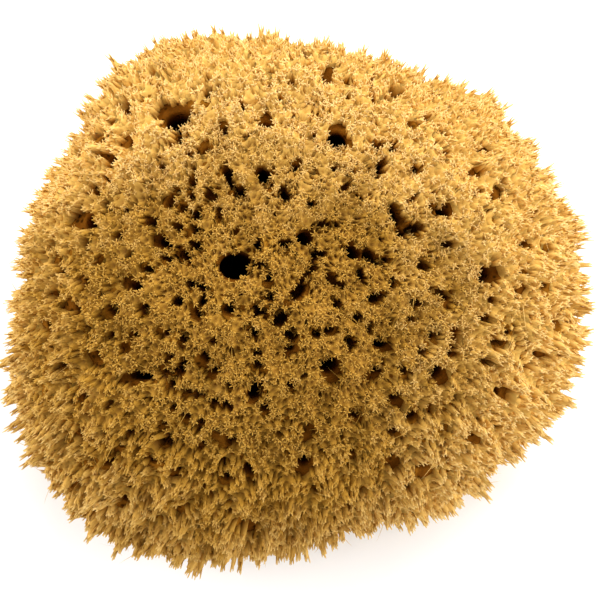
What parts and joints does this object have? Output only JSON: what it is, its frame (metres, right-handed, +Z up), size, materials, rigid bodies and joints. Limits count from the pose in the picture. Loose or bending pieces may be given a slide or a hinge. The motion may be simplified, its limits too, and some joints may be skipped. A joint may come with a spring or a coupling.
{
  "type": "natural sea sponge",
  "caption": "Domed natural sea sponge with a shaggy golden surface of pointed tufts, scattered round and slit-shaped pores, and a flat cut base.",
  "frame": {"origin": "middle of the cut base, where the sponge rests", "axes": "+Z up out of the domed top, -Y towards the side at the foot of the picture, +X towards its right"},
  "size_m": [0.149, 0.1364, 0.0856],
  "materials": {
    "spongin": "dry, matt, fibrous spongin, honey gold with paler tips and brown pores"
  },
  "bodies": {
    "root": {"sponge": "spongin"}
  },
  "joints": []
}
